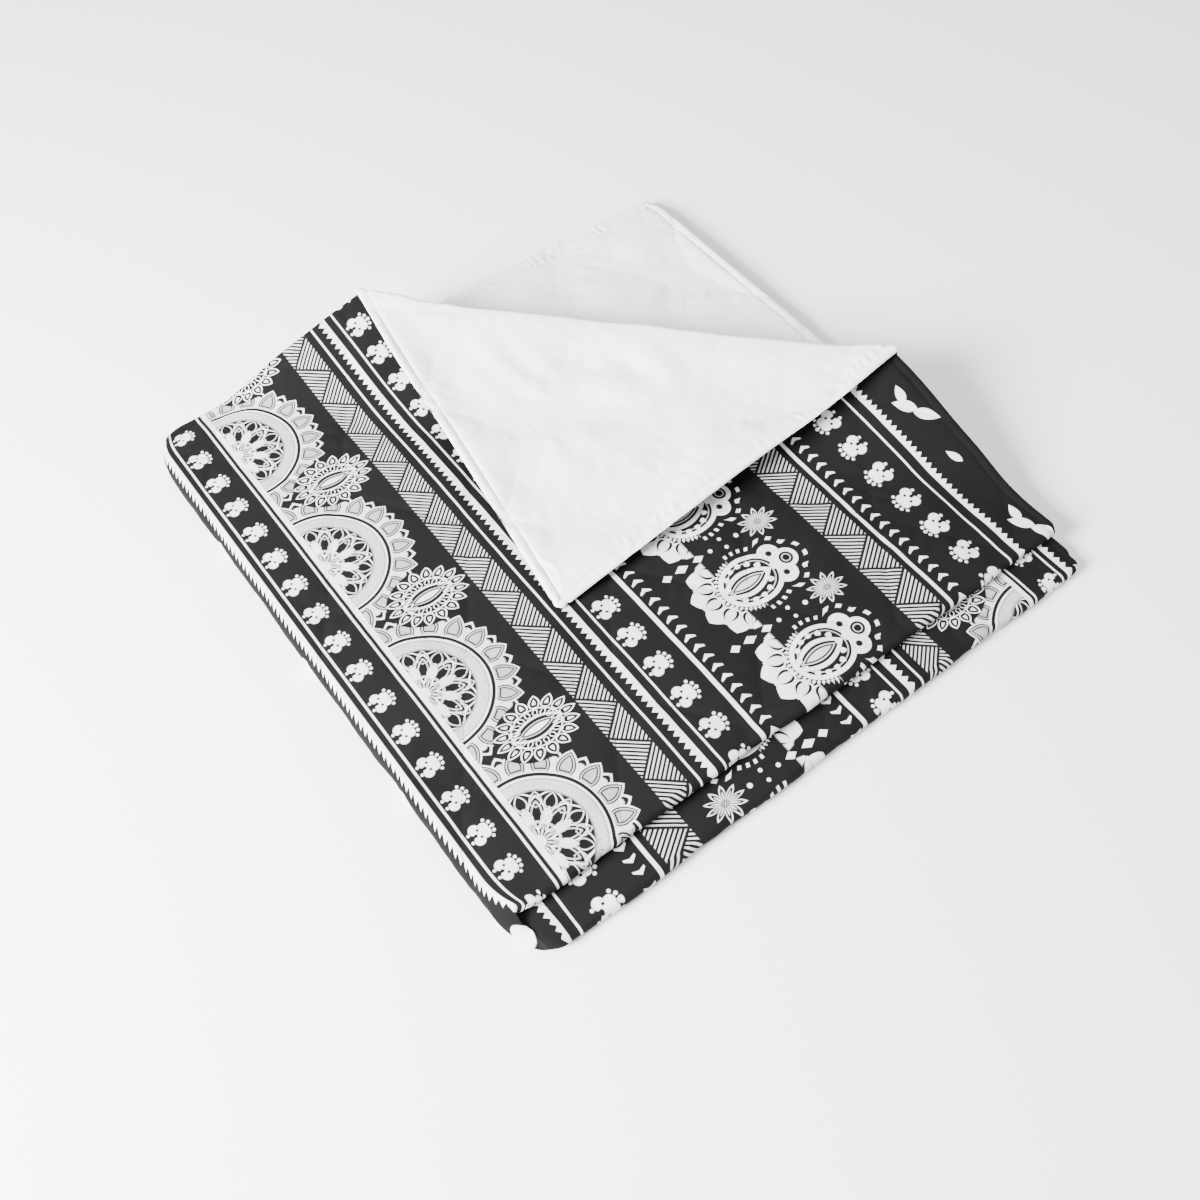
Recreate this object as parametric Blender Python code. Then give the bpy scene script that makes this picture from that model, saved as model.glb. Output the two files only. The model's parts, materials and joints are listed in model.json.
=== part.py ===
"""A quilted throw folded in quarters, with the top corner turned back.

The throw is one padded sheet: printed face cloth, batting and plain backing cloth. It is folded
in half with the print outside, and in half again, so four plies lie on each other. Each ply is
three solids, one to a layer. The far right corner of the top ply stands up along a slanting
strip and is turned back over itself at a crease, so its plain backing shows.

Frame: metres, +Z up, origin under the middle of the folded throw, on the surface it lies on.
X runs across the stripes of the print, from the side fold (-X) to the open side hems (+X).
Y runs from the front folds (-Y) to the open back hems (+Y).
"""

import math

import bmesh
import bpy
from mathutils import Matrix, Vector

# Folded sizes
FOLDED_WIDTH = 0.750  # side fold to side hem
FOLDED_DEPTH = 0.735  # front fold to back hem, of each half
FRONT_STEP = 0.045  # how far the lower half lies forward of the upper half

# The three layers of one ply, and the clearance between pieces that touch
FACE_THICKNESS = 0.0006
BATTING_THICKNESS = 0.0052
BACKING_THICKNESS = 0.0006
GAP = 0.0003

# The turned-back corner
RAISED_START = 0.012  # where the raised strip starts on the side hem, behind the front fold
RAISED_END = 0.0587  # where that line meets the back hem, in from the side fold
RAISED_WIDTH = 0.1765  # of the raised strip on the ground plan, square to the crease
RAISED_SLOPE = math.radians(17.4)
CORNER_LENGTH = 0.372  # crease to tip of the turned-back corner

# Fineness of the round folds
FOLD_STEPS = 20
CREASE_STEPS = 16

# Each layer of a ply: its depth under the printed surface, its thickness and its finish
LAYERS = {
    "face_cloth": (0.0, FACE_THICKNESS),
    "batting": (FACE_THICKNESS + GAP, BATTING_THICKNESS),
    "backing_cloth": (FACE_THICKNESS + BATTING_THICKNESS + 2 * GAP, BACKING_THICKNESS),
}
FINISHES = {
    "face_cloth": ((0.035, 0.035, 0.037, 1.0), 0.75),
    "batting": ((0.90, 0.90, 0.88, 1.0), 0.95),
    "backing_cloth": ((0.86, 0.86, 0.87, 1.0), 0.55),
}

# What follows from the sizes above
PLY = FACE_THICKNESS + BATTING_THICKNESS + BACKING_THICKNESS + 2 * GAP
PITCH = PLY + GAP  # from one ply to the next
STACK_TOP = 3 * PITCH + PLY
HALF_RADIUS = PLY + GAP / 2  # round the front fold of one half
SIDE_X = FOLDED_WIDTH / 2
HINGE_X = -SIDE_X + STACK_TOP / 2  # axis of the side fold
REACH_Y = (FOLDED_DEPTH + FRONT_STEP) / 2
LOWER_Y = (-REACH_Y, REACH_Y - FRONT_STEP)
UPPER_Y = (-REACH_Y + FRONT_STEP, REACH_Y)
RAISED_HINGE = Vector((SIDE_X, UPPER_Y[0] + HALF_RADIUS + RAISED_START))
CREASE_ANGLE = math.atan2(UPPER_Y[1] - RAISED_HINGE.y, FOLDED_WIDTH - RAISED_END)
ALONG = Vector((math.cos(CREASE_ANGLE), -math.sin(CREASE_ANGLE)))  # along the crease
AWAY = Vector((math.sin(CREASE_ANGLE), math.cos(CREASE_ANGLE)))  # from the crease to the corner
RAISED_LENGTH = RAISED_WIDTH / math.cos(RAISED_SLOPE)  # up the slope
CREASE_HEIGHT = RAISED_WIDTH * math.tan(RAISED_SLOPE)  # above the top ply
CORNER_SLOPE = math.asin((CREASE_HEIGHT - GAP) / CORNER_LENGTH)
CORNER_TURN = math.pi + CORNER_SLOPE - RAISED_SLOPE


def clear_scene():
    """Removes whatever the file opened with."""
    for old in list(bpy.data.objects):
        bpy.data.objects.remove(old, do_unlink=True)


def new_collection(name):
    found = bpy.data.collections.new(name)
    bpy.context.scene.collection.children.link(found)
    return found


def layer_material(layer):
    """One Principled material for all the pieces of a layer."""
    found = bpy.data.materials.get(layer)
    if found is None:
        found = bpy.data.materials.new(layer)
        found.use_nodes = True
        colour, roughness = FINISHES[layer]
        shader = found.node_tree.nodes["Principled BSDF"]
        shader.inputs["Base Color"].default_value = colour
        shader.inputs["Roughness"].default_value = roughness
        shader.inputs["Metallic"].default_value = 0.0
        found.diffuse_color = colour
    return found


def extruded(name, outline, length):
    """A closed solid: the outline drawn in XY, with its thickness from z = 0 to length."""
    drawn = bpy.data.curves.new(name + "_outline", "CURVE")
    drawn.dimensions = "2D"
    drawn.fill_mode = "BOTH"
    drawn.extrude = length / 2
    spline = drawn.splines.new("POLY")
    spline.points.add(len(outline) - 1)
    for point, (x, y) in zip(spline.points, outline):
        point.co = (x, y, 0.0, 1.0)
    spline.use_cyclic_u = True
    guide = bpy.data.objects.new(name + "_outline", drawn)
    bpy.context.scene.collection.objects.link(guide)
    evaluated = guide.evaluated_get(bpy.context.evaluated_depsgraph_get())
    mesh = bpy.data.meshes.new_from_object(evaluated)
    bpy.data.objects.remove(guide, do_unlink=True)
    bpy.data.curves.remove(drawn)
    shape = bmesh.new()
    shape.from_mesh(mesh)
    bmesh.ops.remove_doubles(shape, verts=shape.verts, dist=1e-6)
    bmesh.ops.translate(shape, verts=shape.verts, vec=(0.0, 0.0, length / 2))
    bmesh.ops.recalc_face_normals(shape, faces=shape.faces)
    shape.to_mesh(mesh)
    shape.free()
    mesh.name = name
    return mesh


def piece(name, layer, mesh, place, collection, parent=None):
    """The named part, in its layer's material, at its place under its parent."""
    mesh.materials.clear()
    mesh.materials.append(layer_material(layer))
    part = bpy.data.objects.new(name, mesh)
    part.parent = parent
    part.matrix_local = place
    collection.objects.link(part)
    return part


def arc(radius, start, end, steps):
    """Points on a circle about the origin, between two angles."""
    angles = [start + (end - start) * step / steps for step in range(steps + 1)]
    return [(radius * math.cos(angle), radius * math.sin(angle)) for angle in angles]


def ring_part(outer, inner, start, end, steps):
    """Outline of a piece of a ring: the outer arc one way, the inner arc back."""
    return arc(outer, start, end, steps) + arc(inner, end, start, steps)


def folded_outline(depth, thickness, length):
    """Outline of one layer of a half: a bottom leg, the round front fold and a top leg.

    The fold is round the origin, and the legs run to length along +X of the outline.
    """
    outer = HALF_RADIUS - depth
    inner = outer - thickness
    quarter = math.pi / 2
    far_side = [(length, outer)] + arc(outer, quarter, 3 * quarter, FOLD_STEPS) + [(length, -outer)]
    near_side = [(length, -inner)] + arc(inner, 3 * quarter, quarter, FOLD_STEPS) + [(length, inner)]
    return far_side + near_side


def upright(x, y, z):
    """Stands an outline up: its X runs along +Y, its Y along +Z, its thickness along +X."""
    turn = Matrix(((0, 0, 1, 0), (1, 0, 0, 0), (0, 1, 0, 0), (0, 0, 0, 1)))
    return Matrix.Translation((x, y, z)) @ turn


def across(x, y, z):
    """Stands an outline up: its X runs along +X, its Y along +Z, its thickness along -Y."""
    turn = Matrix(((1, 0, 0, 0), (0, 0, -1, 0), (0, 1, 0, 0), (0, 0, 0, 1)))
    return Matrix.Translation((x, y, z)) @ turn


def add_half(half, span, middle_z, collection):
    """The three layers of one half: two plies joined by its front fold."""
    width = SIDE_X - HINGE_X - GAP
    length = span[1] - span[0] - HALF_RADIUS
    place = upright(HINGE_X + GAP, span[0] + HALF_RADIUS, middle_z)
    parts = []
    for layer, (depth, thickness) in LAYERS.items():
        outline = folded_outline(depth, thickness, length)
        mesh = extruded(f"{half}_{layer}", outline, width)
        parts.append(piece(f"{half}_{layer}", layer, mesh, place, collection))
    return parts


def cut_corner(parts, collection):
    """Cuts the top ply away behind the line where the raised strip starts."""
    beyond = FOLDED_WIDTH + FOLDED_DEPTH  # takes the cutter past every hem
    start = RAISED_HINGE - beyond * ALONG
    end = RAISED_HINGE + beyond * ALONG
    outline = [start, end, end + beyond * AWAY, start + beyond * AWAY]
    cutter = bpy.data.objects.new("corner_cutter", extruded("corner_cutter", outline, PITCH))
    cutter.location.z = STACK_TOP - PLY - GAP / 2
    cutter.hide_render = True
    cutter.display_type = "WIRE"
    collection.objects.link(cutter)
    for part in parts:
        cut = part.modifiers.new("corner_cut", "BOOLEAN")
        cut.operation = "DIFFERENCE"
        cut.solver = "EXACT"
        cut.object = cutter


def add_side_fold(collection):
    """The side fold: the outer ply goes round from top to bottom, and the inner one inside it."""
    start = UPPER_Y[0] + HALF_RADIUS
    end = LOWER_Y[1]
    quarter = math.pi / 2
    place = across(HINGE_X, end, STACK_TOP / 2)
    for layer, (depth, thickness) in LAYERS.items():
        # The outer ply has its print outside, and the inner one has it inside.
        folds = {
            "side_fold": STACK_TOP / 2 - depth,
            "inner_fold": GAP / 2 + depth + thickness,
        }
        for fold, radius in folds.items():
            outline = ring_part(radius, radius - thickness, quarter, 3 * quarter, FOLD_STEPS)
            mesh = extruded(f"{fold}_{layer}", outline, end - start)
            piece(f"{fold}_{layer}", layer, mesh, place, collection)


def hem_crossings(distance):
    """Where a line parallel to the crease meets the back hem and the side hem.

    distance is how far the line lies from the start of the raised strip. Both points are in the
    frame of the strip's hinge: X along the crease, Y away from it. The underside of the strip
    swings out as the strip tilts, so its hems are set in by as much.
    """
    swing = PLY * math.sin(RAISED_SLOPE)
    side_x = SIDE_X - swing * AWAY.x
    back_y = UPPER_Y[1] - swing * AWAY.y
    side_y = RAISED_HINGE.y + (distance + swing * AWAY.x * AWAY.x) / AWAY.y
    back_x = RAISED_HINGE.x + (distance - (back_y - RAISED_HINGE.y) * AWAY.y) / AWAY.x
    hems = (Vector((back_x, back_y)), Vector((side_x, side_y)))
    return [Vector(((hem - RAISED_HINGE).dot(ALONG), distance)) for hem in hems]


def add_corner(collection):
    """The raised strip, the crease and the turned-back corner, each on the hinge that moves it."""
    strip_hinge = bpy.data.objects.new("raised_strip_hinge", None)
    strip_hinge.location = (RAISED_HINGE.x, RAISED_HINGE.y, STACK_TOP + GAP / 2)
    strip_hinge.rotation_euler = (RAISED_SLOPE, 0.0, -CREASE_ANGLE)
    collection.objects.link(strip_hinge)
    crease_hinge = bpy.data.objects.new("crease_hinge", None)
    crease_hinge.parent = strip_hinge
    crease_hinge.location = (0.0, RAISED_LENGTH, 0.0)
    crease_hinge.rotation_euler = (CORNER_TURN, 0.0, 0.0)
    collection.objects.link(crease_hinge)

    strip_back, strip_side = hem_crossings(GAP)
    crease_back, crease_side = hem_crossings(RAISED_LENGTH - GAP)
    strip = [strip_back, strip_side, crease_side, crease_back]
    fold_back, fold_side = hem_crossings(RAISED_LENGTH)
    tip_x = (Vector((SIDE_X, UPPER_Y[1])) - RAISED_HINGE).dot(ALONG)
    corner = [(fold_back.x, GAP), (fold_side.x, GAP), (tip_x, CORNER_LENGTH)]
    quarter = math.pi / 2
    for layer, (depth, thickness) in LAYERS.items():
        lowered = Matrix.Translation((0.0, 0.0, -GAP / 2 - depth - thickness))
        mesh = extruded(f"raised_{layer}", strip, thickness)
        piece(f"raised_{layer}", layer, mesh, lowered, collection, strip_hinge)
        mesh = extruded(f"corner_{layer}", corner, thickness)
        piece(f"corner_{layer}", layer, mesh, lowered, collection, crease_hinge)
        inner = GAP / 2 + depth
        outline = ring_part(inner + thickness, inner, -quarter, CORNER_TURN - quarter, CREASE_STEPS)
        mesh = extruded(f"crease_{layer}", outline, fold_side.x - fold_back.x - 2 * HALF_RADIUS)
        place = upright(fold_back.x + HALF_RADIUS, RAISED_LENGTH, 0.0)
        piece(f"crease_{layer}", layer, mesh, place, collection, strip_hinge)


clear_scene()
throw = new_collection("quilted_throw")
cutters = new_collection("cutters")
add_half("lower", LOWER_Y, HALF_RADIUS, throw)
upper = add_half("upper", UPPER_Y, STACK_TOP - HALF_RADIUS, throw)
cut_corner(upper, cutters)
add_side_fold(throw)
add_corner(throw)
bpy.context.view_layer.update()
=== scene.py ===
"""A quilted throw folded in quarters, with its top corner turned back over itself."""

import json
import math

import bpy
import numpy as np
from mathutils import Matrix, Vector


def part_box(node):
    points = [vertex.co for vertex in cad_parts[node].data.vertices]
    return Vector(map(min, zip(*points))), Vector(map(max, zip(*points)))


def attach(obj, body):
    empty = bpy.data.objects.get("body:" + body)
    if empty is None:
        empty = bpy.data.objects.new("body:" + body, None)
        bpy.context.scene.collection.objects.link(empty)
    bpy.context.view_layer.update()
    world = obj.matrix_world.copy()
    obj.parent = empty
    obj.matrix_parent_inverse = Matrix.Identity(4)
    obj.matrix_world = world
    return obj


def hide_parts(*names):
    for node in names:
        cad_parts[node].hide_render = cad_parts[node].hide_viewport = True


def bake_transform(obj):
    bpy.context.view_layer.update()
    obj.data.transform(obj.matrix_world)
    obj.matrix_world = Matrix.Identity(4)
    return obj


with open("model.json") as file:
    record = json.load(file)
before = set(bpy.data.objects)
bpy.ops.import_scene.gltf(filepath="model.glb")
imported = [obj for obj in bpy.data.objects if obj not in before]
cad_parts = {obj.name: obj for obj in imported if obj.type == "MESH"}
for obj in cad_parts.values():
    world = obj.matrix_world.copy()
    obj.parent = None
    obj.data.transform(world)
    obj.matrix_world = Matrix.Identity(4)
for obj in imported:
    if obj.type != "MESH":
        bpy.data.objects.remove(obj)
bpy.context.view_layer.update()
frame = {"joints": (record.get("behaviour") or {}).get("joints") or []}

# ---------------------------------------------------------------------------------------------
# Printed face cloth of the lower half.
# Brushed polyester, printed in the piece. The lower half is two plies joined by their front
# fold, print outside, and it lies on the table with its print down.
# ---------------------------------------------------------------------------------------------

joints = {joint["name"]: joint for joint in frame["joints"]}
upper_low, upper_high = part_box("upper_face_cloth")
lower_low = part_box("lower_face_cloth")[0]
fold_x, middle_z = joints["side_fold_opens"]["pos_m"][0], joints["side_fold_opens"]["pos_m"][2]
hem_x = upper_high.x
stack_height = upper_high.z
turn_radius = (upper_high.z - upper_low.z) / 2  # outside of a front fold
half_ply = 0.0035
full_loft = half_ply * 1.06  # half the thickness where the batting stands fullest
cloth_thickness = 0.0005
turn_middle = turn_radius - half_ply  # to the middle of the ply's thickness
turn_height = stack_height - middle_z - turn_radius
front_y = upper_low.y + turn_radius  # where the flat of the top ply ends and the fold starts
front_step = lower_low.y - upper_low.y
leg = upper_high.y - front_y  # front fold to back hem
run_end = -math.pi * turn_middle - leg  # the hem of the ply under the front fold
side_reach = stack_height / 2
across_end = fold_x - math.pi * side_reach - (hem_x - fold_x)  # the side hem of the lower half

back_hem = upper_high.y
hem_round = 0.0055  # how far in from a hem the ply reaches its thickness
hem_seam = 0.011  # the top-stitching, in from the hems
droop = 0.006  # of the upper half's back hem, which nothing holds up

# The far right corner is turned back. These give the line on which it starts to rise.
strip_hinge = np.array(joints["raised_strip_lowers"]["pos_m"])
crease_hinge = np.array(joints["corner_unfolds"]["pos_m"])
along = -np.array(joints["corner_unfolds"]["axis"][:2])
away = np.array([-along[1], along[0]])
rise_y = strip_hinge[1] + (hem_x - strip_hinge[0]) * along[1] / along[0]
rise_corner = np.array([hem_x, rise_y])  # where that line meets the side hem
cross_x = hem_x + (back_hem - rise_y) * along[0] / along[1]  # and the back hem
rise_flat = rise_corner - (0, front_y)  # the same place on the flat cloth, whose run starts at the fold

quilt_slant = math.radians(55)
quilt_pitch = 0.150
# Where one line of each slanting set lies, on the top ply and on the ply under the front fold.
rising_phase, rising_under = -0.002, -0.028
falling_phase, falling_under = 0.060, 0.022
# Samples inside a hem, closer together where it turns.
hem_steps = np.array([0.0, 0.0006, 0.0015, 0.0028, 0.0045, 0.0068, 0.009, 0.011, 0.013, 0.016])


def smooth(t):
    """Rises from 0 to 1 as t does, level at both ends: 3tt - 2ttt."""
    t = np.clip(t, 0, 1)
    return t * t * (3 - 2 * t)


def ripple(a, b, scale, seed, count=7):
    """A soft unevenness of about 1 either way: a sum of sine waves in chance directions."""
    chance = np.random.default_rng(seed)
    total = 0
    for wave in range(count):
        angle, phase = chance.uniform(0, 2 * np.pi, 2)
        size = scale * chance.uniform(0.6, 1.7)
        total = total + np.sin((a * np.cos(angle) + b * np.sin(angle)) * 2 * np.pi / size + phase)
    return total / math.sqrt(count)


def under_share(b):
    """0 on the top ply and 1 on the ply under the front fold."""
    return smooth((front_y - b + 0.02) / 0.05)


def from_quilting(a, b):
    """Distance to the nearest stitched line of each of the two slanting sets, and along it.

    The sets cross at twice the slant. Their places differ a little on the ply that lies under
    the front fold, because the throw is never folded exactly on its middle.
    """
    under, half = under_share(b), quilt_pitch / 2
    sine, cosine = math.sin(quilt_slant), math.cos(quilt_slant)
    rising = b * cosine - a * sine - rising_phase - under * (rising_under - rising_phase)
    falling = b * cosine + a * sine - falling_phase - under * (falling_under - falling_phase)
    return (
        np.abs((rising + half) % quilt_pitch - half),
        np.abs((falling + half) % quilt_pitch - half),
        a * cosine + b * sine,
        a * cosine - b * sine,
    )


def closing(hem):
    """How a ply closes to nothing at its hem: a half round."""
    edge = np.clip(hem / hem_round, 0, 1)
    return np.sqrt(np.clip(1 - (1 - edge) ** 2, 0, 1))


def loft(a, b, hem, drawn_in=0.0, least=0.0014):
    """Half the thickness of a ply: full between the lines, pulled in where it is stitched.

    A sharp groove of exp(-d) and a wide hollow of exp(-dd) run along each stitched line, and a
    groove inside the hems. Small puckers cross the lines and the hems, and the ply closes to
    nothing at the hem as a half round. It can be drawn in further, but not past the least that
    the cloths and the batting take up.
    """
    rising, falling, along_rising, along_falling = from_quilting(a, b)
    groove, hollow = 0.0056, 0.034
    thick = full_loft
    for distance in (rising, falling):
        thick = thick * (1 - 0.60 * np.exp(-np.hypot(distance, 0.0010) / groove))
        thick = thick * (1 - 0.24 * np.exp(-((distance / hollow) ** 2)))
    for distance, along, seed in ((rising, along_rising, 3), (falling, along_falling, 4)):
        beside = np.exp(-((distance / 0.026) ** 2)) * (1 - np.exp(-((distance / 0.006) ** 2)))
        pucker = np.sin(along * 2 * np.pi / 0.021 + 2.2 * ripple(a, b, 0.12, seed))
        thick = thick + 0.00042 * beside * pucker * (0.6 + 0.4 * ripple(a, b, 0.2, seed + 7))
    to_side = np.minimum(np.abs(hem_x - a), np.abs(a - across_end))
    to_back = np.minimum(np.abs(back_hem - b), np.abs(b - front_y - run_end))
    along_hem = np.where(to_side < to_back, b, a)
    pucker = np.sin(along_hem * 2 * np.pi / 0.0125 + 2.6 * ripple(a, b, 0.07, 9))
    pucker = pucker * np.clip(0.4 + 0.6 * ripple(a, b, 0.06, 10), 0, 1.4)
    thick = thick + 0.00055 * pucker * np.exp(-(((hem - 0.014) / 0.008) ** 2))
    thick = thick * (1 - 0.50 * np.exp(-np.abs(hem - hem_seam) / 0.0028))
    thick = np.hypot(np.clip(thick - drawn_in, 0, None), least)
    return thick * closing(hem)


def settle(x, y, z):
    """How the stack lies: corners rounded in plan, hems a little uneven, the top not quite level.

    In each corner's square the point is drawn in as a square is mapped to a disc. What lies flat
    is lifted a little inside its hems, and the back of the upper half droops where it overhangs.
    """
    low = smooth((middle_z * 2 - z) / (middle_z * 2))
    for corner_x, corner_y, radius in (
        (-hem_x, upper_low.y + front_step * low, 0.050),
        (-hem_x, upper_high.y + front_step * low, 0.048),
        (hem_x, upper_low.y + front_step * low, 0.016),
        (hem_x, upper_high.y + front_step * low, 0.010),
    ):
        inward_x, inward_y = -np.sign(corner_x), np.where(corner_y < 0, 1.0, -1.0)
        u = 1 - np.clip((x - corner_x) * inward_x / radius, 0, 1)
        v = 1 - np.clip((y - corner_y) * inward_y / radius, 0, 1)
        x = x + inward_x * radius * u * (1 - np.sqrt(1 - v * v / 2))
        y = y + inward_y * radius * v * (1 - np.sqrt(1 - u * u / 2))
    inside = smooth((hem_x - np.abs(x)) / 0.10) * smooth((upper_high.y - 0.03 - np.abs(y)) / 0.10)
    lift = (0.0016 + 0.0014 * ripple(x, y, 0.33, 11)) * inside
    lying = 1 - smooth((z - stack_height) / 0.03)
    overhang = smooth((y - upper_high.y - front_step) / (-front_step))
    z = z + (np.clip(z / stack_height, 0, 1.4) * lift - droop * overhang) * lying
    x = x + 0.0011 * ripple(y, z * 6, 0.16, 12) * smooth((x - hem_x + 0.05) / 0.05)
    y = y + 0.0011 * ripple(x, z * 6, 0.16, 13) * smooth((y - upper_low.y - leg + 0.05) / 0.05)
    return x, y, z


def wrinkles(a, b):
    """Soft folds that the stitching draws up in the satiny backing, up to about 2 mm high.

    Waves that follow one direction in each diamond, bent by a slow unevenness, and fewer finer
    ones across them.
    """
    bent = 2.2 * ripple(a, b, 0.20, 41)
    broad = np.sin((a * 0.17 + b * 0.98) * 2 * np.pi / 0.062 + bent)
    fine = np.sin((a * 0.75 - b * 0.66) * 2 * np.pi / 0.033 + 1.8 * ripple(a, b, 0.13, 42))
    patch, spot = ripple(a, b, 0.14, 43), ripple(a, b, 0.09, 44)
    return (0.00170 * broad * np.clip(0.45 + 0.6 * patch, 0, 1.3)
            + 0.00050 * fine * np.clip(0.2 + 0.8 * spot, 0, 1.3))


def bare_loft(a, b, hem, side, room=0.0):
    """Where one side of a ply lies, from its middle, where the backing is bare.

    The printed side is nearly level. The backing lies twice the half thickness from it, so its
    crests are level with the rest of the ply, and only the stitched lines and the hollows of the
    wrinkles sink. The corner can then lie back down on the ply under it.
    """
    rising, falling = from_quilting(a, b)[:2]
    crest = (1 - np.exp(-((rising / 0.025) ** 2))) * (1 - np.exp(-((falling / 0.025) ** 2)))
    hollow = 0.0016 - wrinkles(a, b)
    hollow = (hollow + np.hypot(hollow, 0.0008)) / 2 + 0.0036 * (1 - crest) + room
    thick = loft(a, b, hem, hollow / 2 * smooth((hem - 0.006) / 0.045), 0.0008)
    level = 0.75 * full_loft * closing(hem) + 0.25 * loft(a, b, hem)
    return level if side > 0 else level - 2 * thick


def crumpled(a, b, hem, out):
    """Unevenness that both sides of a ply share, in proportion to how far out each lies."""
    uneven = 0.0007 * ripple(a, b, 0.045, 21) + 0.0006 * ripple(a, b, 0.09, 22)
    return uneven * 0.5 * smooth(hem / 0.05) * np.abs(out) / half_ply


def throw_hem(across, run):
    """Distance to the nearest hem of the flat throw."""
    return np.minimum(
        np.minimum(hem_x - across, across - across_end), np.minimum(leg - run, run - run_end)
    )


def folded(across, run, side):
    """Where the cloth of one side of a ply lies: side 1 is the printed face, -1 the backing.

    The profile runs forward from the back hem, through half a circle at the front fold, and
    back under itself. That profile is carried from the side hem across the throw, through half
    a circle round the side fold, and back. across is x on the top ply, and run is zero where
    the front fold starts.
    """
    hem = np.clip(throw_hem(across, run), 0, None)
    flat_y = front_y + run
    out = side * loft(across, flat_y, hem)
    crumple = crumpled(across, flat_y, hem, out)
    turned = np.clip(-run / turn_middle, 0, np.pi)
    under = np.clip(-run - np.pi * turn_middle, 0, None)
    beyond_rise = (across - rise_corner[0]) * away[0] + (front_y + under - rise_corner[1]) * away[1]
    room = 0.003 * smooth(beyond_rise / 0.03) * (1 - smooth((beyond_rise - 0.05) / 0.10))
    bare = smooth(beyond_rise / 0.05) * smooth((across - fold_x) / 0.05) * smooth(under / 0.05)
    out = out + (bare_loft(across, flat_y, hem, side, room) - out) * bare + crumple
    y = front_y + np.clip(run, 0, None) + under - (turn_middle + out) * np.sin(turned)
    height = turn_height + (turn_middle + out) * np.cos(turned)
    swung = np.clip((fold_x - across) / side_reach, 0, np.pi)
    beyond = np.clip(fold_x - across - np.pi * side_reach, 0, None)
    x = fold_x + np.clip(across - fold_x, 0, None) + beyond - height * np.sin(swung)
    z = middle_z + height * np.cos(swung)
    y = y + front_step * smooth(swung / np.pi)
    return np.stack(settle(x, y, np.clip(z, 0.0002, None)), -1)


def normals_of(surface, a, b, outward):
    """Unit normals: the cross product of the surface's slopes along its two parameters."""
    step = 0.0006
    along_a = surface(a + step, b) - surface(a - step, b)
    along_b = surface(a, b + step) - surface(a, b - step)
    normal = np.cross(along_a, along_b)
    length = np.linalg.norm(normal, axis=-1, keepdims=True)
    return outward * normal / np.where(length < 1e-12, 1, length)


def placed(name, mesh, material):
    """Puts a mesh in the scene as a piece of one material."""
    piece = bpy.data.objects.new(name, mesh)
    bpy.context.scene.collection.objects.link(piece)
    mesh.materials.append(material)
    return piece


def loop_points(mesh):
    """The point that each face corner of a mesh lies on."""
    corners = np.zeros(len(mesh.loops), np.int64)
    mesh.loops.foreach_get("vertex_index", corners)
    return corners


def add_map(mesh, name, values):
    """Keeps a pair of values for each face corner as a map."""
    mesh.uv_layers.new(name=name).data.foreach_set("uv", values.astype(np.float32).ravel())


def cloth_piece(name, surface, a, b, outward, material, slot):
    """A piece of cloth as a thin closed shell over a grid of the two parameters.

    The outer skin is the surface, the inner one lies a cloth's thickness behind it along the
    normals, and a narrow strip joins their edges. The parameters are kept as the map "cloth",
    in metres, which the print follows.
    """
    points = surface(a, b)
    normals = normals_of(surface, a, b, outward)
    rows, columns = a.shape
    count = rows * columns
    index = np.arange(count).reshape(rows, columns)
    quads = np.stack([index[:-1, :-1], index[1:, :-1], index[1:, 1:], index[:-1, 1:]], -1).reshape(-1, 4)
    if outward < 0:
        quads = quads[:, ::-1]
    rim = np.concatenate([index[:-1, 0], index[-1, :-1], index[:0:-1, -1], index[0, :0:-1]])
    follow = np.roll(rim, -1)
    if outward < 0:
        rim, follow = follow, rim
    strip = np.stack([rim, rim + count, follow + count, follow], -1)
    faces = np.concatenate([quads, quads[:, ::-1] + count, strip])
    inner = points - normals * cloth_thickness
    mesh = bpy.data.meshes.new(name)
    mesh.from_pydata(np.concatenate([points, inner]).reshape(-1, 3), [], faces)
    flat = np.stack([a, b], -1).reshape(-1, 2)
    low, size = flat.min(0), np.ptp(flat, axis=0)
    baked = (flat - low) / size
    corners = loop_points(mesh)
    hidden = np.repeat(np.arange(len(faces)) >= len(quads), 4)
    spread = baked[corners % count] * np.where(hidden[:, None], (0.02, 0.96), (0.95, 0.96))
    spread = spread + np.where(hidden[:, None], (0.97, 0.02), (0.01, 0.02))
    add_map(mesh, "OFBake", spread)
    add_map(mesh, "cloth", flat[corners % count])
    mesh.polygons.foreach_set("use_smooth", np.ones(len(mesh.polygons), bool))
    mesh.normals_split_custom_set_from_vertices(
        np.concatenate([normals.reshape(-1, 3), -normals.reshape(-1, 3)])
    )
    return placed(name, mesh, material)


def spaced(start, end, step, ends=""):
    """Samples between two values, a step apart, and closer together inside a hem at an end."""
    values = [np.linspace(start, end, max(2, int(round(abs(end - start) / step)) + 1))]
    sign = np.sign(end - start)
    if "start" in ends:
        values.append(start + sign * hem_steps)
        values[0] = values[0][np.abs(values[0] - start) > hem_steps[-1] + step * 0.4]
    if "end" in ends:
        values.append(end - sign * hem_steps)
        values[0] = values[0][np.abs(values[0] - end) > hem_steps[-1] + step * 0.4]
    found = np.unique(np.round(np.concatenate(values), 7))
    return found if sign > 0 else found[::-1]


def cut_from(piece, a, b, rests_on, with_pieces=()):
    """Finds the diagonals of each cell of a piece's flat grid, and does nothing more with them."""
    first = np.stack([a[1:, 1:] - a[:-1, :-1], b[1:, 1:] - b[:-1, :-1]])
    second = np.stack([a[:-1, 1:] - a[1:, :-1], b[:-1, 1:] - b[1:, :-1]])


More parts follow.
